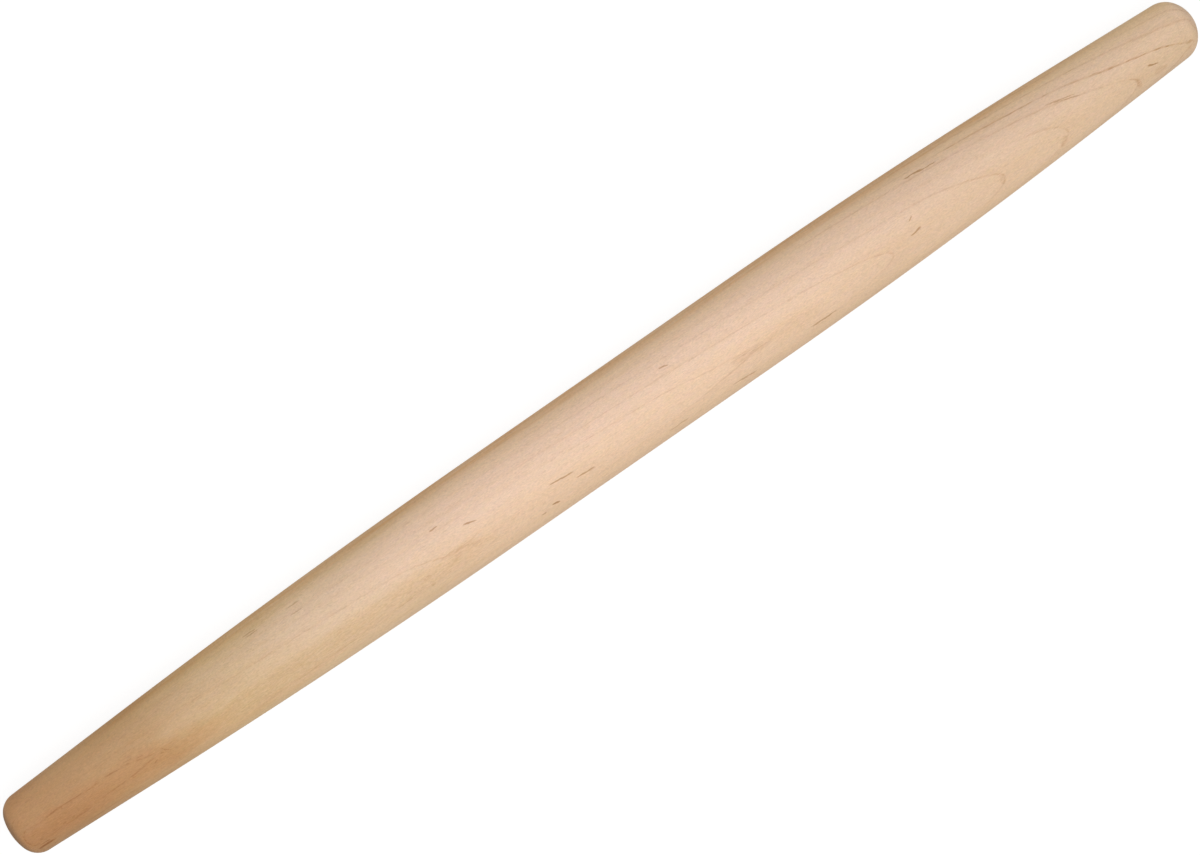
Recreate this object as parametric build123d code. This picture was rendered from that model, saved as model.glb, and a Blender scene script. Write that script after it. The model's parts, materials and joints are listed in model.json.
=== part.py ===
import os
from math import atan2, cos, hypot, sin

from build123d import *

# A French rolling pin, turned from one billet of maple. The turning axis lies along +X and the origin
# is on it, halfway between the two crowns. Lengths are in millimetres.

# The whole pin
overall_length = 508.0
barrel_diameter = 34.7
barrel_length = 112.0  # the stretch of even thickness that rolls the dough
barrel_shift = 10.0  # how far that stretch lies from the middle, towards the slim end

# The blunt end, at -X
blunt_end_diameter = 22.9  # of the taper, carried on to the top of the crown
blunt_taper_length = 51.0  # its straight stretch, before the long sweep up to the barrel
blunt_corner_radius = 7.2
blunt_crown_rise = 0.78  # how far the middle of the end stands proud of its rounded corner

# The slim end, at +X
slim_end_diameter = 21.5
slim_taper_length = 48.5
slim_corner_radius = 9.0
slim_crown_rise = 0.83

# A corner leaves this share of the end's radius to the crown, at the least
crown_share = 0.12


def end_outline(barrel_reach, end_diameter, taper_length, corner_radius, crown_rise):
    """One end's outline, from the barrel to the top of the crown, running towards +X."""
    barrel_radius = barrel_diameter / 2
    end_radius = end_diameter / 2
    reach = overall_length / 2

    # The sweep is one arc that leaves the barrel and joins the taper with no kink. The barrel's line and
    # the taper's line cross at a point as far from the arc's start as from its end.
    drop = barrel_radius - end_radius
    arc_and_taper = reach - barrel_reach + taper_length
    crossing_to_end = (arc_and_taper**2 - drop**2) / (2 * arc_and_taper)
    taper_angle = atan2(drop, crossing_to_end)
    down_taper = (cos(taper_angle), -sin(taper_angle))
    sweep_start = (barrel_reach, barrel_radius)
    sweep_end = (
        reach - taper_length * cos(taper_angle),
        end_radius + taper_length * sin(taper_angle),
    )
    sweep = TangentArc(sweep_start, sweep_end, tangent=(1, 0))

    # The corner is tangent to the taper, and its circle stops short of the crown's top by the crown's rise
    corner = min(corner_radius, end_radius * (1 - crown_share))
    corner_depth = corner + crown_rise
    corner_x = reach - corner_depth
    corner_y = end_radius + corner_depth * drop / crossing_to_end - corner / cos(taper_angle)
    taper_end = (
        corner_x + corner * sin(taper_angle),
        corner_y + corner * cos(taper_angle),
    )
    taper = Line(sweep_end, taper_end)

    # The crown is a cap centred on the axis, and touches the corner's circle from outside
    crown_radius = (corner_depth**2 + corner_y**2 - corner**2) / (2 * crown_rise)
    crown_x = reach - crown_radius
    out_of_crown = hypot(corner_x - crown_x, corner_y)
    crown_start = (
        corner_x + corner * (corner_x - crown_x) / out_of_crown,
        corner_y + corner * corner_y / out_of_crown,
    )
    corner_arc = TangentArc(taper_end, crown_start, tangent=down_taper)
    crown = TangentArc(crown_start, (reach, 0), tangent=corner_arc % 1)
    return Curve() + [sweep, taper, corner_arc, crown]


def pin_body():
    """The whole pin, turned about its axis from one closed outline."""
    slim_reach = barrel_length / 2 + barrel_shift
    blunt_reach = barrel_length / 2 - barrel_shift
    slim_end = end_outline(
        slim_reach, slim_end_diameter, slim_taper_length, slim_corner_radius, slim_crown_rise
    )
    blunt_end = end_outline(
        blunt_reach, blunt_end_diameter, blunt_taper_length, blunt_corner_radius, blunt_crown_rise
    ).mirror(Plane.YZ)
    barrel = Line((-blunt_reach, barrel_diameter / 2), (slim_reach, barrel_diameter / 2))
    centre_line = Line((-overall_length / 2, 0), (overall_length / 2, 0))
    outline = Curve() + [blunt_end, barrel, slim_end, centre_line]
    return revolve(make_face(outline), axis=Axis.X)


os.makedirs("parts", exist_ok=True)
export_step(pin_body(), "parts/pin_body.step")
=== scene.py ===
import json
from math import asin, atan2, ceil, cos, hypot, pi, radians, sin, sqrt

import bpy
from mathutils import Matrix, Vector


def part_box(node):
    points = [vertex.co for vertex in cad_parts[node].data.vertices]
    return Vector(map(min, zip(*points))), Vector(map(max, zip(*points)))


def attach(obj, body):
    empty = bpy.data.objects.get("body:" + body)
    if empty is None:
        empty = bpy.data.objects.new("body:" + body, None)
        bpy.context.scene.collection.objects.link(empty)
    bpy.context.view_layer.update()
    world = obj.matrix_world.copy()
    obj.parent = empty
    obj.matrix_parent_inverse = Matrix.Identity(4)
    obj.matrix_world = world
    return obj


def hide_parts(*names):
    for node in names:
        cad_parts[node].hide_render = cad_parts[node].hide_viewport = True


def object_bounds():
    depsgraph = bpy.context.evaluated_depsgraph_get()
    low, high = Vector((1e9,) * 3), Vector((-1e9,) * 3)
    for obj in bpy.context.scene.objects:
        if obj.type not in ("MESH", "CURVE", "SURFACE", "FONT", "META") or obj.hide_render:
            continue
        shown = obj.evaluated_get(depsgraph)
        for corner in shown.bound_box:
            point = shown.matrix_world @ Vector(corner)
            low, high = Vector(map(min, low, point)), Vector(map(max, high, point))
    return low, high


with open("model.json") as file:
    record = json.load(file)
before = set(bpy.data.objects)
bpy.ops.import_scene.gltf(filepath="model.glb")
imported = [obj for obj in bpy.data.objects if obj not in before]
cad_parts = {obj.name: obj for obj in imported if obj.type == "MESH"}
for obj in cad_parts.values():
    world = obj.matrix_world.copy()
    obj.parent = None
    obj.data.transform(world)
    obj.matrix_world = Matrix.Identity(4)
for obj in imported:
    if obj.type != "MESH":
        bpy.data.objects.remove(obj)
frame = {"nodes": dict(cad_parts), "record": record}
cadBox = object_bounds()
print("frame loaded:", ", ".join(sorted(frame["nodes"])))

mm = 0.001


def paint(red, green, blue):  # a colour from 0 to 255, as on a screen, made linear for a shader
    shares = [value / 255 for value in (red, green, blue)]
    return (*(s / 12.92 if s <= 0.04045 else ((s + 0.055) / 1.055) ** 2.4 for s in shares), 1.0)


def deselectAll():
    if bpy.context.object and bpy.context.object.mode != "OBJECT":
        bpy.ops.object.mode_set(mode="OBJECT")
    bpy.ops.object.select_all(action="DESELECT")


# The view: straight down on the pin, which lies on the slant with its blunt end at the lower left

view = {
    "lens": 100.0,  # mm
    "sensor": 36.0,  # mm
    "widthSeen": 425.04,  # mm across the frame, at the height of the pin's axis
    "slant": 34.7455,  # degrees that the pin climbs to the right
    "frameWidth": 1200,  # pixels
    "pinRight": 1.96,  # pixels from the middle of the frame to the middle of the pin
    "pinUp": 1.74,
}


def makeCamera():
    bpy.ops.object.camera_add()
    camera = bpy.context.object
    camera.name = "cameraAbove"
    camera.data.lens = view["lens"]
    camera.data.sensor_width = view["sensor"]
    slant = radians(view["slant"])
    camera.rotation_euler = (0, 0, -slant)
    rightwards = Vector((cos(slant), -sin(slant), 0))
    upwards = Vector((sin(slant), cos(slant), 0))
    pixel = view["widthSeen"] / view["frameWidth"] * mm
    height = view["widthSeen"] * mm * view["lens"] / view["sensor"]
    aim = -rightwards * view["pinRight"] * pixel - upwards * view["pinUp"] * pixel
    camera.location = aim + Vector((0, 0, height))
    bpy.context.scene.camera = camera
    print("camera above the pin,", round(height, 3), "m up")


makeCamera()


# The pin's outline, in mm from its middle, as it was turned: barrel, long sweep, straight taper,
# rounded corner and a low crown at each end

barrelMount = frame["record"]["mounts"][0]

turning = {
    "barrelRadius": barrelMount["dims"]["r_mm"],
    "barrelLength": barrelMount["dims"]["length_mm"],
    "barrelMiddle": barrelMount["pos_m"][0] / mm,
    "halfLength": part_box("pin_body")[1].x / mm,
    "slimEnd": {"radius": 10.75, "taper": 48.5, "corner": 9.0, "crownRise": 0.83},
    "bluntEnd": {"radius": 11.45, "taper": 51.0, "corner": 7.2, "crownRise": 0.78},
    "sweepPower": 1.75,  # how the radius falls off along an end, roughly
    "stepsRound": 160,
    "mergeWithin": 0.003,  # mm, points nearer together than this become one
    "stepsAlong": {"barrel": 3.5, "sweep": 4.0, "taper": 3.5, "corner": 0.5, "crown": 0.7},  # mm each
}


def steps(length, kind):
    return max(3, ceil(length / turning["stepsAlong"][kind]))


def drawEnd(end, reach, way):  # way is 1 towards the slim end and -1 towards the blunt one
    barrel, half = turning["barrelRadius"], turning["halfLength"]
    drop = barrel - end["radius"]
    sweepAndTaper = half - reach + end["taper"]
    crossing = (sweepAndTaper**2 - drop**2) / (2 * sweepAndTaper)
    angle = atan2(drop, crossing)
    sweepEnd = half - end["taper"] * cos(angle)
    sweepRadius = (sweepEnd - reach) / sin(angle)
    cornerDepth = end["corner"] + end["crownRise"]
    cornerX = half - cornerDepth
    cornerZ = end["radius"] + cornerDepth * drop / crossing - end["corner"] / cos(angle)
    crownRadius = (cornerDepth**2 + cornerZ**2 - end["corner"] ** 2) / (2 * end["crownRise"])
    crownAngle = asin(cornerZ / (crownRadius - end["corner"]))
    taperEnd = cornerX + end["corner"] * sin(angle)

    def arc(centreX, centreZ, turn, length, kind):
        bpy.ops.mesh.spin(
            steps=steps(length, kind),
            angle=-way * turn,
            center=(way * centreX * mm, 0, centreZ * mm),
            axis=(0, 1, 0),
        )

    arc(reach, barrel - sweepRadius, angle, sweepEnd - reach, "sweep")
    pieces = steps(taperEnd - sweepEnd, "taper")
    along = (taperEnd - sweepEnd) / pieces
    for _ in range(pieces):
        bpy.ops.mesh.extrude_region_move(
            TRANSFORM_OT_translate={"value": (way * along * mm, 0, -along * drop / crossing * mm)}
        )
    turn = pi / 2 - angle - crownAngle
    arc(cornerX, cornerZ, turn, end["corner"] * turn, "corner")
    arc(half - crownRadius, 0, crownAngle, crownRadius * crownAngle, "crown")


def turnPin():
    deselectAll()
    barrel = turning["barrelRadius"]
    bpy.ops.mesh.primitive_plane_add(size=mm, location=(turning["barrelMiddle"] * mm, 0, barrel * mm))
    pin = bpy.context.object
    pin.name = "rollingPin"
    bpy.ops.object.transform_apply(location=True, rotation=True, scale=True)
    bpy.ops.object.mode_set(mode="EDIT")
    bpy.ops.mesh.select_mode(type="VERT")
    bpy.ops.mesh.select_all(action="SELECT")
    bpy.ops.mesh.merge(type="CENTER")
    for way, end in ((1, "slimEnd"), (-1, "bluntEnd")):
        bpy.ops.mesh.select_all(action="DESELECT")
        bpy.ops.object.mode_set(mode="OBJECT")
        pin.data.vertices[0].select = True  # the barrel's middle, where both halves start
        bpy.ops.object.mode_set(mode="EDIT")
        pieces = steps(turning["barrelLength"] / 2, "barrel")
        along = turning["barrelLength"] / 2 / pieces
        for _ in range(pieces):
            bpy.ops.mesh.extrude_region_move(TRANSFORM_OT_translate={"value": (way * along * mm, 0, 0)})
        reach = turning["barrelLength"] / 2 + way * turning["barrelMiddle"]
        drawEnd(turning[end], reach, way)
    bpy.ops.mesh.select_all(action="SELECT")
    bpy.ops.mesh.spin(steps=turning["stepsRound"], angle=2 * pi, center=(0, 0, 0), axis=(1, 0, 0))
    bpy.ops.mesh.select_all(action="SELECT")
    bpy.ops.mesh.remove_doubles(threshold=turning["mergeWithin"] * mm)
    bpy.ops.mesh.normals_make_consistent(inside=False)
    bpy.ops.mesh.faces_shade_smooth()
    bpy.ops.object.mode_set(mode="OBJECT")
    pin.data.name = "rollingPin"
    print("pin turned:", len(pin.data.polygons), "faces")
    return pin


pin = turnPin()


# The pin's own map: each half is unrolled flat, with its seam underneath

mapLayout = {
    "margin": 0.004,  # share of the map left free round each half
    "atThePole": 0.01,  # mm from the axis, within which a point has no side of its own
}


def ringOf(point):  # how far along the axis a point lies, and how far out from it, in mm
    return round(point.x / mm, 3), round(hypot(point.y, point.z) / mm, 3)


def unrollPin(piece):
    mesh = piece.data
    while mesh.uv_layers:
        mesh.uv_layers.remove(mesh.uv_layers[0])
    layer = mesh.uv_layers.new(name="OFBake")
    # how far along the outline each ring of points lies, from the blunt crown to the slim one
    rings = sorted({ringOf(vertex.co) for vertex in mesh.vertices})
    travel, total = {}, 0.0
    for before, ring in zip([rings[0]] + rings[:-1], rings):
        total += hypot(ring[0] - before[0], ring[1] - before[1])
        travel[ring] = total
    middleRing = min(travel, key=lambda ring: abs(ring[0]))
    middle = travel[middleRing]
    margin = mapLayout["margin"]
    for face in mesh.polygons:
        facing = atan2(face.center.y, face.center.z)
        slimHalf = face.center.x / mm > middleRing[0]
        for corner in face.loop_indices:
            point = mesh.vertices[mesh.loops[corner].vertex_index].co
            ring = ringOf(point)
            around = facing
            if ring[1] >= mapLayout["atThePole"]:
                around = atan2(point.y, point.z)
                around += 2 * pi * round((facing - around) / (2 * pi))
            across = around / (2 * pi) + 0.5
            along = (travel[ring] - middle) / (total - middle) if slimHalf else travel[ring] / middle
            u = margin + (1 - 2 * margin) * along
            v = margin + (0.5 - 2 * margin) * across + (0.5 if slimHalf else 0)
            layer.data[corner].uv = (u, v)
    print("pin unrolled on to its map")


unrollPin(pin)


# Small helpers for the node trees


def newNode(tree, kind, **settings):
    node = tree.nodes.new(kind)
    for name, value in settings.items():
        setattr(node, name, value)
    return node


def feed(tree, socket, value):
    if isinstance(value, bpy.types.NodeSocket):
        tree.links.new(value, socket)
    elif value is not None:
        socket.default_value = value


def math(tree, operation, first, second=None, third=None):
    node = newNode(tree, "ShaderNodeMath", operation=operation)
    for socket, value in zip(node.inputs, (first, second, third)):
        feed(tree, socket, value)
    return node.outputs[0]


def vector(tree, operation, first, second=None, third=None, scale=None):
    node = newNode(tree, "ShaderNodeVectorMath", operation=operation)
    for socket, value in zip(node.inputs, (first, second, third)):
        feed(tree, socket, value)
    if scale is not None:
        feed(tree, node.inputs["Scale"], scale)
    return node.outputs["Value" if operation in ("LENGTH", "DISTANCE", "DOT_PRODUCT") else "Vector"]


def parts(tree, value):  # the x, y and z of a vector, by name
    node = newNode(tree, "ShaderNodeSeparateXYZ")
    feed(tree, node.inputs[0], value)
    return node.outputs


def stretch(tree, place, size, shift):  # sizes and shifts a pattern, in mm along x, y and z
    node = newNode(tree, "ShaderNodeMapping", vector_type="TEXTURE")
    feed(tree, node.inputs["Vector"], place)
    node.inputs["Scale"].default_value = size
    node.inputs["Location"].default_value = shift
    return node.outputs["Vector"]


def noise(tree, place, size, detail=2.0, roughness=0.5, shift=(0, 0, 0), colour=False):
    sized = stretch(tree, place, size, shift)
    node = newNode(tree, "ShaderNodeTexNoise")
    feed(tree, node.inputs["Vector"], sized)
    node.inputs["Scale"].default_value = 1.0
    node.inputs["Detail"].default_value = detail
    node.inputs["Roughness"].default_value = roughness
    return node.outputs["Color" if colour else "Fac"]


def ease(tree, value, low, high, fromLow=0.0, fromHigh=1.0):  # a smooth step from low to high
    node = newNode(tree, "ShaderNodeMapRange", interpolation_type="SMOOTHSTEP")
    feed(tree, node.inputs["Value"], value)
    feed(tree, node.inputs["From Min"], low)
    feed(tree, node.inputs["From Max"], high)
    feed(tree, node.inputs["To Min"], fromLow)
    feed(tree, node.inputs["To Max"], fromHigh)
    return node.outputs["Result"]


def blend(tree, share, first, second, kind="MIX"):
    node = newNode(tree, "ShaderNodeMix", data_type="RGBA", blend_type=kind)
    feed(tree, node.inputs["Factor"], share)
    feed(tree, node.inputs[6], first)
    feed(tree, node.inputs[7], second)
    return node.outputs[2]


# The maple: a solid block of growth rings that the pin is cut from, so the grain runs through to the ends

maple = {
    "halfLength": 254.0,  # mm, from the pin's middle to either tip
    "ringTurn": 26.5,  # degrees, which way round the pin the rings' middle lies
    "ringRadius": 500.0,  # mm, nearly flat rings from the outside of a large trunk
    # mm at the slim tip that the trunk's slant, then its bow, carries the rings inwards and across
    "driftIn": (-5.4, 6.1),
    "driftAcross": (76.0, 47.0),
    # mm, the depth of each late-season line
    "ringLines": (-29.6, -26.2, -21.9, -18.3, -14.6, -10.9, -6.2, -1.8, 1.8, 6.4, 9.6, 13.6, 16.0, 18.5, 21.0,
                  24.1, 27.8),
    # mm along, and how strongly the lines show there on the upper face
    "lineStrength": ((-254, 0.75), (-200, 0.7), (-180, 0.2), (-120, 0.1), (-105, 0.34), (-60, 0.36),
                     (-10, 0.4), (30, 0.38), (120, 0.38), (155, 0.48), (254, 0.54)),
    # the blunt tip's colour, darkened partly by painted shade
    "toastedAndShaded": paint(190, 142, 98),
    "honey": paint(203, 164, 122),
    "straw": paint(220, 188, 150),
    "cream": paint(228, 197, 166),
    "rosy": paint(240, 206, 179),
    "sand": paint(232, 199, 171),
    "paleSand": paint(229, 197, 165),
    # share of the length from the blunt end, and the wood's colour there, with painted shade that darkens it
    # towards the blunt end
    "alongThePin": ((0.0, "toastedAndShaded"), (0.115, "honey"), (0.19, "straw"), (0.26, "cream"), (0.40, "rosy"),
                    (0.62, "rosy"), (0.79, "sand"), (1.0, "paleSand")),
    "cloudDrift": 70.0,  # mm, how far the cloudy pattern carries these colours along
    "lateWood": paint(205, 158, 112),
    # how much of the wood's red, green and blue each of these leaves
    "sideTint": (1.0, 0.98, 0.82, 1.0),  # the sides are yellower and a little darker: partly where the rings stand on edge, partly painted shade
    "streaksAndShadeOnFarSide": (0.94, 0.77, 0.57, 1.0),  # brown streaks and painted shade along the far side, away from the lamp
    "line": (0.68, 0.54, 0.41, 1.0),
    "nose": (0.65, 0.48, 0.32, 1.0),  # a line where its ring dives under the face
    "patch": (0.88, 0.82, 0.68, 1.0),
    "warmPatch": (1.0, 0.90, 0.86, 1.0),
    "fleck": (0.54, 0.40, 0.25, 1.0),
    # end grain darkening, with painted shade at the rim of each crown
    "endGrainAndRimShade": (0.66, 0.71, 0.80, 1.0),
    "flankLift": 0.085,  # painted light: how much paler both sides of the tapers are
    "ragged": (0.75, 0.02),  # mm, how ragged a line is, where its ring stands on edge and where it lies flat
    "lineThinness": 3.5,  # a larger number makes the lines thinner
    "lineWiden": 0.43,  # how much wider a line is where its ring stands on edge
    "dashStrength": 0.80,
    "bandPower": 2.0,  # a larger number keeps the soft band nearer to its line
    "mottle": (0.07, 0.055, 0.17),  # how much the red, green and blue vary
    "specks": 0.22,
    "fleckRagged": (1.6, 0.7, 0),  # mm, along and across
    "patchRagged": (16, 5, 0),
    "roughness": 0.56,
    "fibreRoughness": 0.22,
    "endGrainRoughness": 0.14,
    "specular": 0.25,
    "bump": 0.25,
    "bumpDepth": 0.0001,  # m
    "lineHollow": -0.6,  # how deep the lines are, beside the fibres
}

# the wood's patterns: size in mm along, across and upwards
patterns = {
    "wander": {"size": (46, 11, 11)},
    "ragged": {"size": (4.5, 0.7, 0.7), "detail": 3.0},
    "cloud": {"size": (38, 15, 15), "detail": 3.0, "shift": (12, 4, 9)},
    "brownStreaks": {"size": (22, 1.6, 1.6), "detail": 3.0, "shift": (8, 3, 21)},
    "bands": {"size": (30, 7, 7), "shift": (3, 40, 8)},
    "dashes": {"size": (5.0, 0.9, 0.9), "detail": 3.0, "roughness": 0.6, "shift": (50, 7, 2)},
    "underneath": {"size": (60, 14, 14), "shift": (7, 90, 3)},
    "fibres": {"size": (2.6, 0.38, 0.38), "roughness": 0.6},
    "pores": {"size": (0.8, 0.34, 0.34), "detail": 1.0, "shift": (3, 8, 1)},
    "broadFibres": {"size": (16, 1.8, 1.8), "shift": (9, 1, 5)},
    "rays": {"size": (0.9, 0.28, 5.0), "detail": 1.0},
    "pebbles": {"size": (1.9, 0.9, 0.9), "detail": 1.0, "shift": (31, 5, 17)},
    "mottle": {"size": (3.6, 1.5, 1.5), "colour": True},
    "specks": {"size": (4.0, 0.5, 0.5), "detail": 1.0, "shift": (17, 2, 44)},
    "fleckEdge": {"size": (2.6, 0.9, 0.9), "colour": True},
    "patchEdge": {"size": (9, 2.2, 2.2), "colour": True},
}

# how much lighter and darker these make the wood
fineTones = {"fibres": 0.19, "pores": 0.30, "broadFibres": 0.05, "rays": 0.15, "pebbles": 0.09}

# soft steps: where each starts and ends, then how strong it is before and after, if that isn't 0 and 1
fades = {
    # by mm along the pin
    "bluntTipFarSide": (-250, -190, 0.3, 1.0),
    "bluntTilt": (-190, -250, 0, 0.13),  # painted light and shade: how much paler the far side of a tip is, and darker the near one
    "slimTilt": (190, 250, 0, 0.07),
    "shoulderLift": (-1, 1, 0.05, 0.12),  # painted light: how much paler the rounded shoulder of each end is
    "endGrainShare": (-1, 1, 1.0, 0.12),  # how much darker the face of each end is, end grain and painted shade at its rim
    "lineWidth": (-200, -180, 0.06, 0.03),
    "betweenDashes": (-180, -80, 0.04, 0.30),  # how much of a line is left in its gaps
    "farSideLines": (90, 150),
    # by mm from the middle, or from the middle of the barrel
    "streaksAndShadeAtTheTips": (235, 180, 0.2, 1.0),
    "taper": (70, 170),
    # by mm across
    "nearSide": (1, -7, 0, 0.34),
    "nearEdge": (-11, -16, 0, 0.4),
    "linesToTheFarSide": (5.0, 12.0, 1.0, 0.15),
    "linesToTheNearEdge": (-13.5, -10.5, 0.2, 1.0),
    # by mm upwards
    "upperFace": (-6.0, 1.0),
    # by how far the surface faces a way: 0 not at all, 1 straight
    "raggedAtTheEnds": (0.4, 0.9, 1.0, 0.3),
    "farSide": (0.43, 0.98),
    "streaksAndShadeOnFarSide": (0.76, 0.95),
    "flank": (0.954, 0.527),
    "shoulder": (0.15, 0.5),
    "endGrainAndRimShade": (0.50, 0.88),
    "crown": (0.86, 1.0, 1.0, 0.45),
    # by how steeply the rings dive
    "nose": (0.16, 0.07, 0.0, 0.6),
    "flatRing": (0.02, 0.07),
    "lineColour": (0.10, 0.24),
    # by the share of a season's growth
    "band": (0.35, 1.0),
    # by a pattern's own value
    "brownStreaks": (0.3, 0.7, 0.35, 1.0),
    "bands": (0.3, 0.7, 0.03, 0.11),
    "dashes": (0.40, 0.60),
    "underneath": (0.35, 0.65, 0.25, 1.0),
    "specks": (0.64, 0.76),
    "patchFibres": (0.25, 0.7, 1.0, 0.5),
    "stainFibres": (0.2, 0.75, 1.3, 0.5),
}

# where the rings bow a little: mm along from the middle, mm across, half length, half width, mm of bow
ringBows = {
    "firstLine": [(-245, -2, 10, 6, -0.5), (-208, -2, 10, 5, 0.3)],
    "firstArch": [(-178, -6, 16, 8, 0.2)],
    "secondArch": [(-73, -5, 11, 4, -0.4), (-65, -7, 7, 3, -0.2)],
    "thirdArch": [(42, -5, 13, 6, -0.2)],
    "fifthLine": [(136, 0, 17, 6, 0.7)],
    "seventhLine": [(189, -2, 14, 4, 0.5)],
    "eighthLine": [(218, 1, 25, 5, -1.0)],
    "slimTip": [(251, -8, 4, 3, 2.5), (252, 0, 4, 2, 1.4)],
}


def pattern(tree, place, name):
    return noise(tree, place, **patterns[name])


def fade(tree, value, name):
    return ease(tree, value, *fades[name])


def swing(tree, value):  # a pattern's value or colour, as its difference from the middle
    if value.type == "RGBA":
        return vector(tree, "SUBTRACT", value, (0.5, 0.5, 0.5))
    return math(tree, "SUBTRACT", value, 0.5)


def drifted(tree, value, along, drift):
    slant, bow = drift
    carried = math(tree, "MULTIPLY", along, math(tree, "MULTIPLY_ADD", along, bow, slant))
    return math(tree, "ADD", value, carried)


def ringFrame(tree, place):  # turned so that z points in to the rings' middle and y runs along them
    turned = newNode(tree, "ShaderNodeMapping", vector_type="POINT")
    feed(tree, turned.inputs["Vector"], place)
    turned.inputs["Rotation"].default_value = (-radians(maple["ringTurn"]), 0, 0)
    return turned.outputs["Vector"]


def ringDepth(tree, place, normal):
    turned = parts(tree, ringFrame(tree, place))
    half = maple["halfLength"]
    along = math(tree, "DIVIDE", turned["X"], half)
    inwards = drifted(tree, turned["Z"], along, maple["driftIn"])
    across = drifted(tree, turned["Y"], along, maple["driftAcross"])
    toMiddle = math(tree, "SUBTRACT", inwards, maple["ringRadius"])
    spoke = newNode(tree, "ShaderNodeCombineXYZ")
    feed(tree, spoke.inputs["Y"], across)
    feed(tree, spoke.inputs["Z"], toMiddle)
    depth = math(tree, "SUBTRACT", maple["ringRadius"], vector(tree, "LENGTH", spoke.outputs[0]))
    for x, y, length, width, bow in [bow for part in ringBows.values() for bow in part]:
        apart = vector(tree, "SUBTRACT", place, (x, y, 0))
        apart = vector(tree, "MULTIPLY", apart, (1 / length, 1 / width, 0))
        squared = vector(tree, "DOT_PRODUCT", apart, apart)
        swell = math(tree, "EXPONENT", math(tree, "MULTIPLY", squared, -1.0))
        depth = math(tree, "MULTIPLY_ADD", swell, bow, depth)
    # how steeply the rings dive here: 0 where they lie flat in the surface, 1 where they stand on edge
    outwards = vector(tree, "NORMALIZE", spoke.outputs[0])
    slopes = {}
    for name, (slant, bow) in (("Y", maple["driftAcross"]), ("Z", maple["driftIn"])):
        slopes[name] = math(tree, "MULTIPLY_ADD", along, 2 * bow / half, slant / half)
    drift = newNode(tree, "ShaderNodeCombineXYZ")
    for name, slope in slopes.items():
        feed(tree, drift.inputs[name], slope)
    lengthened = vector(tree, "DOT_PRODUCT", outwards, drift.outputs[0])
    lengthwise = newNode(tree, "ShaderNodeCombineXYZ")
    feed(tree, lengthwise.inputs["X"], lengthened)
    growth = vector(tree, "ADD", outwards, lengthwise.outputs[0])
    facing = ringFrame(tree, normal)
    sunk = vector(tree, "SCALE", facing, scale=vector(tree, "DOT_PRODUCT", growth, facing))
    dive = vector(tree, "LENGTH", vector(tree, "SUBTRACT", growth, sunk))
    return depth, dive


def ringCount(tree, depth):  # whole numbers fall on the late-season lines
    count = None
    for early, late in zip(maple["ringLines"], maple["ringLines"][1:]):
        node = newNode(tree, "ShaderNodeMapRange")
        feed(tree, node.inputs["Value"], depth)
        node.inputs["From Min"].default_value = early
        node.inputs["From Max"].default_value = late
        grown = node.outputs["Result"]
        count = grown if count is None else math(tree, "ADD", count, grown)
    return count


def lineShow(tree, place, group):  # where along the pin the lines stand out, and where they fade
    spot = parts(tree, place)
    half = maple["halfLength"]
    share = math(tree, "MULTIPLY_ADD", spot["X"], 1 / (2 * half), 0.5)
    node = newNode(tree, "ShaderNodeFloatCurve")
    curve = node.mapping.curves[0]
    points = [((x + half) / (2 * half), strength) for x, strength in maple["lineStrength"]]
    curve.points[0].location, curve.points[1].location = points[0], points[-1]
    for point in points[1:-1]:
        curve.points.new(*point)
    node.mapping.update()
    feed(tree, node.inputs["Value"], share)
    faded = fade(tree, spot["Y"], "linesToTheFarSide")
    faded = math(tree, "MAXIMUM", faded, fade(tree, spot["X"], "farSideLines"))
    faded = math(tree, "MULTIPLY", faded, fade(tree, spot["Y"], "linesToTheNearEdge"))
    top = math(tree, "MULTIPLY", node.outputs["Value"], faded)
    top = math(tree, "ADD", top, spots(tree, group, place, lineMarks, "ADD"))
    top = math(tree, "MAXIMUM", top, 0.0)
    under = fade(tree, pattern(tree, place, "underneath"), "underneath")
    side = fade(tree, spot["Z"], "upperFace")
    shown = newNode(tree, "ShaderNodeMix")
    for socket, value in zip((0, 2, 3), (side, under, top)):
        feed(tree, shown.inputs[socket], value)
    return shown.outputs[0]


fleckShape = {
    "tips": 4.0,  # a larger power keeps a fleck's width nearer to its tips
    "outer": 1.1,  # how far its soft edge reaches, as a share of its size
    "depth": 2.6,  # mm that it reaches into the wood
    "slopeDepth": 1.3,  # how much deeper it is on the sloping sides, as a share of its half width
    "steepest": 3.0,  # the steepest slope that counts
}


def fleckGroup():  # one slender dark fleck, as a mask
    tree = bpy.data.node_groups.new("mineralFleck", "ShaderNodeTree")
    for name, kind in (("Place", "NodeSocketVector"), ("Middle", "NodeSocketVector"),
                       ("Along", "NodeSocketVector"), ("Across", "NodeSocketVector"),
                       ("Inwards", "NodeSocketVector"), ("Depth of Tone", "NodeSocketFloat")):
        tree.interface.new_socket(name=name, in_out="INPUT", socket_type=kind)
    tree.interface.new_socket(name="Mask", in_out="OUTPUT", socket_type="NodeSocketFloat")
    entry = newNode(tree, "NodeGroupInput")
    leave = newNode(tree, "NodeGroupOutput")
    apart = vector(tree, "SUBTRACT", entry.outputs["Place"], entry.outputs["Middle"])
    along = math(tree, "ABSOLUTE", vector(tree, "DOT_PRODUCT", apart, entry.outputs["Along"]))
    reach = math(tree, "POWER", along, fleckShape["tips"])
    for name in ("Across", "Inwards"):
        share = vector(tree, "DOT_PRODUCT", apart, entry.outputs[name])
        reach = math(tree, "MULTIPLY_ADD", share, share, reach)
    mask = ease(tree, reach, 1.0, 0.0)
    feed(tree, leave.inputs["Mask"], math(tree, "MULTIPLY", mask, entry.outputs["Depth of Tone"]))
    return tree


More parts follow.
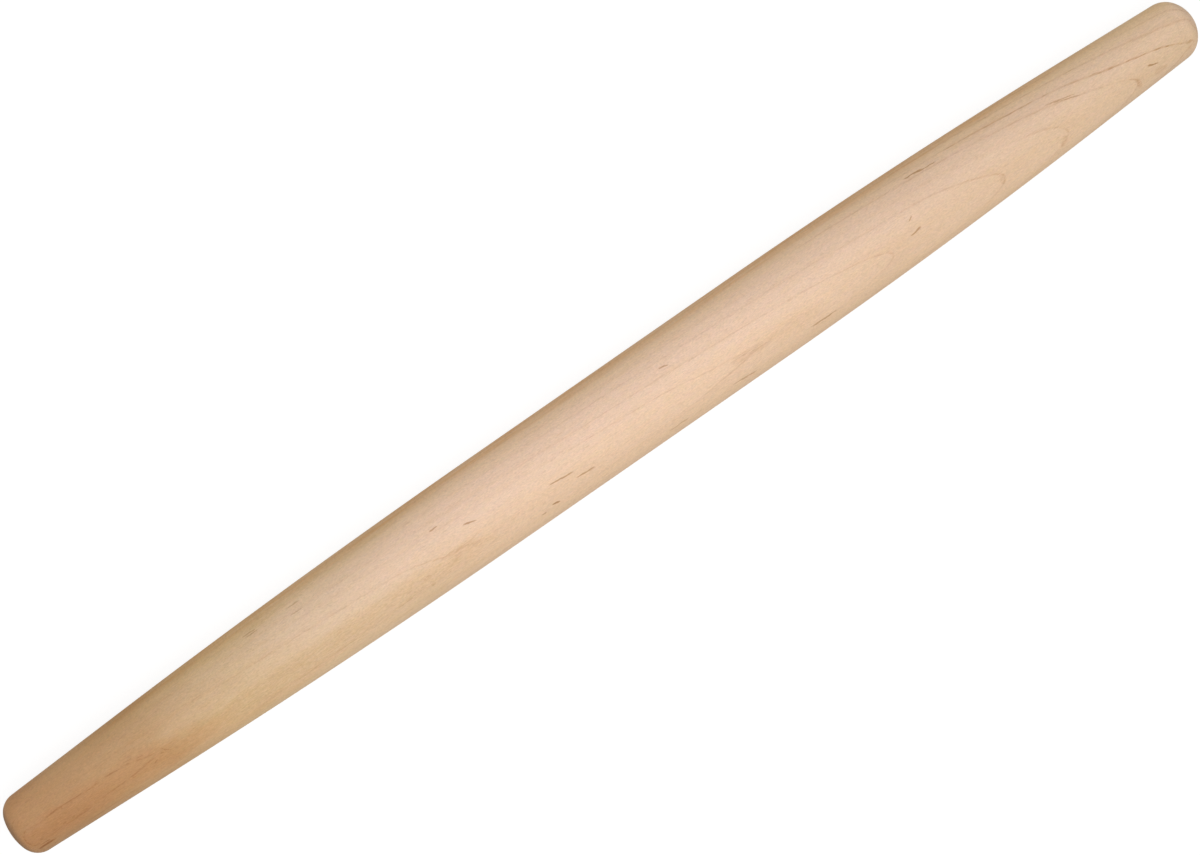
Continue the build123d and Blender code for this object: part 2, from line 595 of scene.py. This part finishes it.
# each fleck: mm along from the middle, mm across (y), length, width, slant in degrees, depth of tone
flecks = {
    "dotsOnTheFirstLine": [(-235.0, -1.7, 3.0, 0.7, 0, 0.25), (-232.0, -2.0, 1.2, 1.0, 60, 0.25),
                           (-228.0, -2.1, 1.2, 0.9, 0, 0.2), (-224.4, -1.9, 2.6, 0.7, 0, 0.25),
                           (-217.0, -1.8, 1.6, 0.8, 20, 0.2), (-210.0, -2.1, 4.0, 0.7, -3, 0.25),
                           (-204.0, -2.8, 1.4, 0.8, -10, 0.2)],
    "dotsUnderTheFirstArch": [(-244.5, -7.1, 1.2, 0.8, 0, 0.25), (-239.0, -7.0, 1.0, 0.8, 0, 0.2),
                              (-234.4, -7.1, 1.6, 0.8, 0, 0.25), (-230.6, -7.0, 1.0, 0.8, 0, 0.2),
                              (-225.7, -7.2, 2.0, 0.8, 0, 0.25), (-205.0, -7.7, 1.6, 0.7, 0, 0.2)],
    "dashesByTheLowerEdge": [(-150.0, -12.6, 12.0, 0.5, 1, 0.16), (-134.0, -12.5, 14.0, 0.5, 0, 0.2),
                             (-119.0, -12.3, 12.0, 0.5, 0, 0.2)],
    "beyondTheFirstArch": [(-170.8, 2.6, 5.0, 0.5, 3, 0.2)],
    "endOfTheFirstArch": [(-203.5, -1.6, 3.4, 0.5, -8, 0.3), (-199.0, -3.0, 2.6, 0.5, -14, 0.3),
                          (-190.8, -5.6, 2.6, 0.5, -50, 0.4), (-189.6, -6.6, 2.4, 0.45, -36, 0.35),
                          (-192.0, -6.4, 2.0, 0.4, -20, 0.25), (-195.4, -7.6, 2.4, 0.45, 16, 0.35)],
    "bluntTaper": [(-143.3, 10.8, 6.0, 0.5, -2, 0.5), (-142.3, 10.1, 5.0, 0.4, 0, 0.5)],
    "bluntSweep": [(-124.8, 10.3, 6.0, 0.5, 0, 0.45), (-124.6, 7.5, 5.5, 0.5, -2, 0.4)],
    "barrelBlunt": [(-69.1, 4.0, 3.4, 0.6, 2, 0.7), (-57.3, -1.4, 5.2, 0.7, -16, 0.8),
                    (-22.2, -7.0, 9.6, 0.7, -6, 0.76), (-14.0, -10.1, 7.8, 0.65, -4, 0.7),
                    (-28.4, -13.1, 3.0, 0.8, -8, 0.9), (-34.2, -13.8, 2.0, 0.6, -4, 0.6),
                    (-92.0, -11.8, 7.0, 0.5, 1, 0.25)],
    "barrelSlim": [(29.2, 4.8, 4.0, 0.7, -11, 0.7), (22.6, -15.1, 8.5, 0.55, 1, 0.45),
                   (50.9, -14.7, 10.5, 0.55, -4, 0.55), (85.8, -13.5, 11.0, 0.65, -1, 0.64)],
    "brushOfTheThirdArch": [(53.2, -7.8, 8.5, 0.5, -4, 0.14), (60.2, -8.8, 9.5, 0.6, -3, 0.15),
                            (55.4, -9.2, 9.0, 0.5, 2, 0.16), (50.6, -10.2, 9.0, 0.45, 5, 0.14)],
    "slimSweep": [(129.2, -6.7, 4.8, 0.8, 10, 0.74), (129.7, -1.9, 2.6, 0.7, 32, 0.6),
                  (139.8, 10.4, 8.0, 0.5, -4, 0.9), (144.4, 9.8, 9.0, 0.45, -4, 0.8)],
    "slimTaper": [(196.8, 2.4, 12.0, 0.5, -13, 0.5), (200.0, 0.9, 8.0, 0.45, -17, 0.55),
                  (231.3, -6.0, 4.2, 0.65, -18, 0.88)],
}

# small tan stains, written as the flecks are
tanStains = {
    "bluntTip": [(-244.2, -9.6, 8.0, 0.75, -3, 1.0), (-244.4, -8.8, 4.5, 0.5, -4, 0.7)],
    "secondArch": [(-66.6, -6.9, 14.0, 1.4, -3, 0.26), (-80.5, -9.0, 3.2, 1.4, 0, 0.3),
                   (-80.0, -12.0, 1.8, 1.2, 0, 0.3)],
    "thirdArch": [(57.4, -8.6, 17.0, 3.6, -2, 0.18)],
    "fifthArch": [(164.6, -9.0, 2.0, 5.0, -12, 0.2)],
    "sixthArch": [(190.5, -10.3, 4.2, 2.4, 40, 0.3)],
    "seventhArch": [(223.8, -8.8, 1.9, 4.6, 0, 0.32)],
    "slimTip": [(233.2, -9.0, 5.5, 2.4, -6, 0.26)],
}

# broad soft patches, written as the flecks are
patches = {
    "oliveByTheSecondArch": [(-77.1, -9.5, 56.0, 10.0, -3, 0.68), (-65.1, -7.5, 26.0, 3.4, -4, 0.5)],
    "honeySide": [(-148.0, -9.0, 130.0, 11.0, 0, 0.8)],
    "toastedByTheFirstLine": [(-216.0, -4.0, 60.0, 17.0, 0, 0.47)],
    "toastedByTheLowerEdge": [(-212.0, -10.5, 56.0, 5.0, 1, 0.5)],
    "brownByTheUpperEdge": [(-122.0, 13.4, 120.0, 4.6, 1.5, 0.5)],
    "honeyByTheLowerEdge": [(-140.0, -12.6, 90.0, 5.0, 1, 0.5), (-110.0, -13.8, 130.0, 4.4, 0, 0.35)],
    "byTheEighthLine": [(167.0, 9.6, 26.0, 3.6, -4, 0.4)],
    "middleOfTheBluntSweep": [(-141.0, -1.5, 42.0, 8.0, 0, 0.17)],
    "streakAtTheSlimTip": [(240.0, 3.2, 34.0, 3.2, -10, 0.22)],
    "yellowSide": [(-39.6, -11.4, 120.0, 10.0, 0, 0.2)],
    "beyondTheThirdArch": [(77.0, -9.5, 24.0, 9.0, 0, 0.30)],
}
warmPatches = {
    "insideTheFirstArch": [(-222.0, -6.0, 80.0, 14.0, 1, 0.85), (-188.0, -9.5, 50.0, 8.0, 0, 0.7)],
    "byTheLowerEdge": [(-150.0, -13.0, 64.0, 5.0, 1, 0.32)],
}

# where the grain lines show more, or less: written as the flecks are
lineMarks = {
    "firstLine": [(-224.0, -1.6, 60.0, 4.0, 1, -0.12)],
    "firstArch": [(-200.0, -6.0, 44.0, 9.0, 0, -0.15)],
    "farSideOfTheBluntHalf": [(-190.0, 7.8, 160.0, 13.0, 0, -1.0)],
    "secondArch": [(-79.0, -4.6, 30.0, 4.0, -9.8, 0.22), (-82.0, -10.3, 34.0, 4.0, 8.5, -0.22),
                   (-47.0, -7.6, 22.0, 5.0, 0, -0.5)],
    "startOfTheSecondLine": [(-136.0, 0.9, 56.0, 4.0, -3, 0.24)],
    "startOfTheThirdLine": [(-45.0, 0.9, 70.0, 3.6, -1, -0.5), (-100.0, 3.6, 64.0, 4.0, -1.5, -0.35),
                            (22.0, -2.6, 28.0, 4.0, -8, 0.1)],
    "thirdArch": [(58.0, -8.8, 16.0, 5.0, 0, -0.18)],
    "startOfTheFourthLine": [(-58.0, 5.6, 96.0, 4.5, -2, -0.3)],
    "startOfTheFifthLine": [(66.0, 6.4, 84.0, 4.0, -3, -0.1)],
    "sixthArch": [(192.0, -6.0, 18.0, 14.0, 0, -0.2)],
    "startOfTheSixthLine": [(148.0, 3.6, 62.0, 5.0, -7.4, -1.0), (96.0, 8.6, 60.0, 5.0, -4, -0.6)],
    "seventhLine": [(110.0, 11.2, 40.0, 4.0, -1, 0.4), (172.0, 5.5, 38.0, 4.0, -12, -0.1),
                    (212.0, -2.3, 22.0, 4.0, -22, -0.3)],
    "eighthLine": [(223.0, 0.3, 60.0, 5.0, -14, 0.65), (168.0, 10.2, 44.0, 3.6, -6, 0.3),
                   (182.0, 8.3, 28.0, 3.6, -8, 0.3), (205.0, 3.8, 20.0, 4.0, -12, -0.45),
                   (243.0, -4.6, 18.0, 4.0, -17, 0.48)],
    "ninthLine": [(236.0, 3.9, 36.0, 4.0, -10, -0.14)],
    "farSideOfTheSlimTip": [(228.0, 10.8, 60.0, 5.0, -1, -0.6)],
}


def spots(tree, group, place, marks, join="MAXIMUM"):  # all of these flecks or patches, as one mask
    total = None
    for x, y, length, width, slant, tone in [spot for part in marks.values() for spot in part]:
        top = sqrt(max(radiusAt(x) ** 2 - y * y, 1.0))
        slope = min(abs(y) / top, fleckShape["steepest"])
        depth = fleckShape["depth"] + fleckShape["slopeDepth"] * width / 2 * slope
        run, rise = cos(radians(slant)), sin(radians(slant))
        halfLength = length / 2 * fleckShape["outer"]
        halfWidth = width / 2 * fleckShape["outer"]
        node = newNode(tree, "ShaderNodeGroup", node_tree=group)
        feed(tree, node.inputs["Place"], place)
        node.inputs["Middle"].default_value = (x, y, top)
        node.inputs["Along"].default_value = (run / halfLength, rise / halfLength, 0)
        node.inputs["Across"].default_value = (-rise / halfWidth, run / halfWidth, 0)
        node.inputs["Inwards"].default_value = (0, 0, 1 / depth)
        node.inputs["Depth of Tone"].default_value = tone
        mask = node.outputs["Mask"]
        total = mask if total is None else math(tree, join, total, mask)
    return total


def radiusAt(x):  # near enough to put a fleck on the face
    barrel, half = turning["barrelRadius"], turning["halfLength"]
    start = turning["barrelLength"] / 2 + (turning["barrelMiddle"] if x > 0 else -turning["barrelMiddle"])
    end = turning["slimEnd" if x > 0 else "bluntEnd"]
    out = max(0, abs(x) - start) / (half - start)
    return barrel - (barrel - end["radius"]) * out ** turning["sweepPower"]


def mapleMaterial():
    material = bpy.data.materials.new("oiled_maple")
    material.use_nodes = True
    tree = material.node_tree
    tree.nodes.clear()
    group = fleckGroup()
    coordinates = newNode(tree, "ShaderNodeTexCoord")
    place = vector(tree, "SCALE", coordinates.outputs["Object"], scale=1 / mm)
    facing = parts(tree, coordinates.outputs["Normal"])
    endwards = math(tree, "ABSOLUTE", facing["X"])

    # the rings wander a little, and their lines are ragged like the fibres they are made of
    depth, dive = ringDepth(tree, place, coordinates.outputs["Normal"])
    wander = swing(tree, pattern(tree, place, "wander"))
    ragged = swing(tree, pattern(tree, place, "ragged"))
    ragged = math(tree, "MULTIPLY", ragged, fade(tree, endwards, "raggedAtTheEnds"))
    depth = math(tree, "MULTIPLY_ADD", wander, dive, depth)
    depth = math(tree, "MULTIPLY_ADD", ragged, math(tree, "MULTIPLY_ADD", dive, *maple["ragged"]), depth)
    count = ringCount(tree, depth)
    season = math(tree, "FRACT", count)
    toLine = math(tree, "MULTIPLY", math(tree, "PINGPONG", count, 0.5), maple["lineThinness"])

    # broad colour: toasted brown at the blunt tip, honey along its taper, rosy cream in the middle, sand
    # beyond; partly the wood's own tone, partly painted shade that darkens it towards the blunt end
    spot = parts(tree, place)
    cloud = swing(tree, pattern(tree, place, "cloud"))
    lean = math(tree, "MULTIPLY_ADD", cloud, maple["cloudDrift"], spot["X"])
    lean = math(tree, "MULTIPLY_ADD", lean, 1 / (2 * maple["halfLength"]), 0.5)
    ramp = newNode(tree, "ShaderNodeValToRGB")
    feed(tree, ramp.inputs[0], lean)
    stops = ramp.color_ramp.elements
    stops.remove(stops[1])
    for index, (position, name) in enumerate(maple["alongThePin"]):
        stop = stops[0] if index == 0 else stops.new(position)
        stop.position, stop.color = position, maple[name]
    colour = ramp.outputs[0]
    # yellower, a little darker sides: partly the rings standing on edge, partly painted shade across the pin
    farSide = fade(tree, facing["Y"], "farSide")
    nearSide = fade(tree, spot["Y"], "nearSide")
    nearEdge = fade(tree, spot["Y"], "nearEdge")
    farSide = math(tree, "MULTIPLY", farSide, fade(tree, spot["X"], "bluntTipFarSide"))
    yellow = math(tree, "ADD", farSide, math(tree, "ADD", nearSide, nearEdge))
    colour = blend(tree, yellow, colour, maple["sideTint"], "MULTIPLY")
    fromMiddle = math(tree, "ABSOLUTE", spot["X"])
    # brown streaks with painted shade along the far side, which faces away from the lamp; less of it at the
    # tips
    streaks = fade(tree, pattern(tree, place, "brownStreaks"), "brownStreaks")
    brown = math(tree, "MULTIPLY", fade(tree, facing["Y"], "streaksAndShadeOnFarSide"), streaks)
    brown = math(tree, "MULTIPLY", brown, fade(tree, fromMiddle, "streaksAndShadeAtTheTips"))
    colour = blend(tree, brown, colour, maple["streaksAndShadeOnFarSide"], "MULTIPLY")
    # painted light: the flanks of the tapers paler, where they face sideways
    flank = fade(tree, math(tree, "ABSOLUTE", facing["Z"]), "flank")
    fromBarrel = math(tree, "ABSOLUTE", math(tree, "SUBTRACT", spot["X"], turning["barrelMiddle"]))
    flank = math(tree, "MULTIPLY", flank, fade(tree, fromBarrel, "taper"))
    # painted light and shade: the far side of each tip paler, its near side darker
    tilt = math(tree, "ADD", fade(tree, spot["X"], "bluntTilt"), fade(tree, spot["X"], "slimTilt"))
    tilt = math(tree, "MULTIPLY", facing["Y"], tilt)
    paintedLight = math(tree, "MULTIPLY_ADD", flank, maple["flankLift"], tilt)
    # painted light: the rounded shoulders of the ends paler
    shoulder = fade(tree, spot["X"], "shoulderLift")
    paintedLight = math(tree, "MULTIPLY_ADD", fade(tree, endwards, "shoulder"), shoulder, paintedLight)
    colour = vector(tree, "SCALE", colour, scale=math(tree, "ADD", paintedLight, 1.0))

    # late wood: a soft band that builds up to each line, then the thin broken line itself
    band = math(tree, "POWER", fade(tree, season, "band"), maple["bandPower"])
    band = math(tree, "MULTIPLY", band, fade(tree, pattern(tree, place, "bands"), "bands"))
    colour = blend(tree, band, colour, maple["lateWood"])
    dashes = pattern(tree, place, "dashes")
    width = math(tree, "MULTIPLY_ADD", dive, maple["lineWiden"], fade(tree, spot["X"], "lineWidth"))
    line = math(tree, "SUBTRACT", 1.0, ease(tree, math(tree, "DIVIDE", toLine, width), 0.0, 1.0))
    atNose = fade(tree, dive, "nose")
    gaps = fade(tree, spot["X"], "betweenDashes")
    dashed = math(tree, "MAXIMUM", ease(tree, dashes, *fades["dashes"], gaps, maple["dashStrength"]), atNose)
    line = math(tree, "MULTIPLY", line, math(tree, "MULTIPLY", dashed, fade(tree, dive, "flatRing")))
    line = math(tree, "MULTIPLY", line, lineShow(tree, place, group))
    lineColour = blend(tree, fade(tree, dive, "lineColour"), maple["nose"], maple["line"])
    colour = blend(tree, line, colour, lineColour, "MULTIPLY")

    # fibres, and the small rays that cross them
    fine = {}
    for name in fineTones:
        where = ringFrame(tree, place) if name == "rays" else place  # rays run in towards the rings' middle
        fine[name] = pattern(tree, where, name)
    tone = 1.0
    for name, strength in fineTones.items():
        tone = math(tree, "MULTIPLY_ADD", swing(tree, fine[name]), strength, tone)
    mottle = vector(tree, "MULTIPLY", swing(tree, pattern(tree, place, "mottle")), maple["mottle"])
    colour = vector(tree, "MULTIPLY", colour, vector(tree, "ADD", mottle, (1, 1, 1)))
    colour = vector(tree, "SCALE", colour, scale=tone)
    specks = fade(tree, pattern(tree, place, "specks"), "specks")
    colour = blend(tree, math(tree, "MULTIPLY", specks, maple["specks"]), colour, maple["line"], "MULTIPLY")

    # soft stained patches, then flecks of mineral in the wood
    ragged = swing(tree, pattern(tree, place, "fleckEdge"))
    fleckPlace = vector(tree, "MULTIPLY_ADD", ragged, maple["fleckRagged"], place)
    ragged = swing(tree, pattern(tree, place, "patchEdge"))
    patchPlace = vector(tree, "MULTIPLY_ADD", ragged, maple["patchRagged"], place)
    stained = spots(tree, group, patchPlace, patches)
    stained = math(tree, "MULTIPLY", stained, fade(tree, fine["fibres"], "patchFibres"))
    colour = blend(tree, stained, colour, maple["patch"], "MULTIPLY")
    stained = spots(tree, group, fleckPlace, tanStains)
    stained = math(tree, "MULTIPLY", stained, fade(tree, fine["fibres"], "stainFibres"))
    colour = blend(tree, stained, colour, maple["nose"], "MULTIPLY")
    colour = blend(tree, spots(tree, group, patchPlace, warmPatches), colour, maple["warmPatch"], "MULTIPLY")
    colour = blend(tree, spots(tree, group, fleckPlace, flecks), colour, maple["fleck"], "MULTIPLY")

    # the ends drink more oil, and are darker; the strongest darkening, at the rim round each crown, is
    # painted shade
    endGrainAndRimShade = math(tree, "MULTIPLY", fade(tree, endwards, "endGrainAndRimShade"), fade(tree, endwards, "crown"))
    darkened = math(tree, "MULTIPLY", endGrainAndRimShade, fade(tree, spot["X"], "endGrainShare"))
    colour = blend(tree, darkened, colour, maple["endGrainAndRimShade"], "MULTIPLY")

    rough = swing(tree, fine["fibres"])
    rough = math(tree, "MULTIPLY_ADD", rough, maple["fibreRoughness"], maple["roughness"])
    rough = math(tree, "MULTIPLY_ADD", endGrainAndRimShade, maple["endGrainRoughness"], rough)
    height = math(tree, "MULTIPLY_ADD", line, maple["lineHollow"], fine["fibres"])
    bump = newNode(tree, "ShaderNodeBump")
    bump.inputs["Strength"].default_value = maple["bump"]
    bump.inputs["Distance"].default_value = maple["bumpDepth"]
    feed(tree, bump.inputs["Height"], height)
    wood = newNode(tree, "ShaderNodeBsdfPrincipled")
    wood.inputs["Specular IOR Level"].default_value = maple["specular"]
    feed(tree, wood.inputs["Base Color"], colour)
    feed(tree, wood.inputs["Roughness"], rough)
    feed(tree, wood.inputs["Normal"], bump.outputs[0])
    output = newNode(tree, "ShaderNodeOutputMaterial")
    feed(tree, output.inputs["Surface"], wood.outputs[0])
    print("maple mixed:", len(tree.nodes), "nodes")
    return material


pin.data.materials.append(mapleMaterial())
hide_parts("pin_body")
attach(pin, "root")


# The worktop, the soft lamp over it and the pale surroundings

studio = {
    "worktopSize": 6.0,  # m
    "worktop": paint(215, 215, 215),
    "shadowShare": 0.24,  # how much of the worktop's own light the camera sees, so how deep the shadow is
    "glow": 0.86,  # added to what the camera sees, so the worktop looks white
    "surroundings": 0.42,  # how bright the room is on the pin
    "roomSeen": 1.0,  # and how bright to the camera and in reflections
    "lampPower": 3.85,  # watts
    "lampSize": 0.6,  # m
    "lampHeight": 0.8,
    "lampLean": 12.5,  # degrees towards the pin's lower right side
    "lampAlong": 0.03,  # m
}


def makeWorktop():
    deselectAll()
    bpy.ops.mesh.primitive_plane_add(size=studio["worktopSize"], location=(0, 0, cadBox[0].z))
    worktop = bpy.context.object
    worktop.name = "worktop"
    material = bpy.data.materials.new("paleWorktop")
    material.use_nodes = True
    tree = material.node_tree
    tree.nodes.clear()
    surface = newNode(tree, "ShaderNodeBsdfDiffuse")
    surface.inputs["Color"].default_value = studio["worktop"]
    dimmed = newNode(tree, "ShaderNodeBsdfDiffuse")
    dimmed.inputs["Color"].default_value = (*[studio["shadowShare"]] * 3, 1)
    glow = newNode(tree, "ShaderNodeEmission")
    glow.inputs["Strength"].default_value = studio["glow"]
    seen = newNode(tree, "ShaderNodeAddShader")
    feed(tree, seen.inputs[0], dimmed.outputs[0])
    feed(tree, seen.inputs[1], glow.outputs[0])
    rays = newNode(tree, "ShaderNodeLightPath")
    choose = newNode(tree, "ShaderNodeMixShader")
    feed(tree, choose.inputs[0], rays.outputs["Is Camera Ray"])
    feed(tree, choose.inputs[1], surface.outputs[0])
    feed(tree, choose.inputs[2], seen.outputs[0])
    output = newNode(tree, "ShaderNodeOutputMaterial")
    feed(tree, output.inputs["Surface"], choose.outputs[0])
    worktop.data.materials.append(material)
    print("worktop laid")


def makeLight():
    lean = radians(studio["lampLean"])
    bpy.ops.object.light_add(
        type="AREA",
        location=(studio["lampAlong"], -sin(lean) * studio["lampHeight"], cos(lean) * studio["lampHeight"]),
        rotation=(lean, 0, 0),
    )
    lamp = bpy.context.object
    lamp.name = "softLamp"
    lamp.data.shape = "SQUARE"
    lamp.data.size = studio["lampSize"]
    lamp.data.energy = studio["lampPower"]
    lamp.visible_camera = False
    world = bpy.data.worlds.new("paleRoom")
    world.use_nodes = True
    tree = world.node_tree
    tree.nodes.clear()
    light = newNode(tree, "ShaderNodeBackground")
    light.inputs["Strength"].default_value = studio["surroundings"]
    seen = newNode(tree, "ShaderNodeBackground")
    seen.inputs["Strength"].default_value = studio["roomSeen"]
    for background in (light, seen):
        background.inputs["Color"].default_value = (1, 1, 1, 1)
    rays = newNode(tree, "ShaderNodeLightPath")
    direct = math(tree, "MAXIMUM", rays.outputs["Is Camera Ray"], rays.outputs["Is Glossy Ray"])
    direct = math(tree, "MAXIMUM", direct, rays.outputs["Is Transmission Ray"])
    choose = newNode(tree, "ShaderNodeMixShader")
    feed(tree, choose.inputs[0], direct)
    feed(tree, choose.inputs[1], light.outputs[0])
    feed(tree, choose.inputs[2], seen.outputs[0])
    output = newNode(tree, "ShaderNodeOutputWorld")
    feed(tree, output.inputs["Surface"], choose.outputs[0])
    bpy.context.scene.world = world
    print("lamp and room set")


makeWorktop()
makeLight()
bpy.context.scene.view_settings.view_transform = "Standard"
